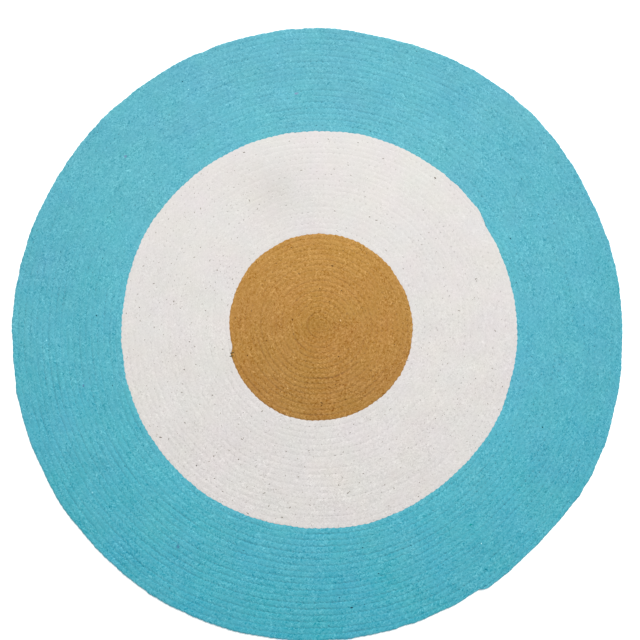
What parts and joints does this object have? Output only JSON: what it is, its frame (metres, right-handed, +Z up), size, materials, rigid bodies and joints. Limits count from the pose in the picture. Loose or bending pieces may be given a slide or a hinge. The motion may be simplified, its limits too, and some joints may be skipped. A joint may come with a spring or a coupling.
{
  "type": "round cotton rug",
  "caption": "Flat round rug of plaited cotton cord, wound in a spiral and sewn edge to edge, with a mustard centre, an off-white ring and a turquoise outer ring.",
  "frame": {"origin": "centre of the coil, on the underside that lies on the floor", "axes": "+Z up, out of the face that is walked on; +Y towards the top of the picture and +X to its right"},
  "size_m": [0.9002, 0.9045, 0.008],
  "materials": {
    "mustard_cotton": "matt plaited cotton cord, mustard",
    "off_white_cotton": "matt plaited cotton cord, undyed off-white with small dark seed flecks",
    "turquoise_cotton": "matt plaited cotton cord, turquoise"
  },
  "bodies": {
    "root": {"centre_coil": "mustard_cotton", "middle_coil": "off_white_cotton", "outer_coil": "turquoise_cotton"}
  },
  "joints": []
}
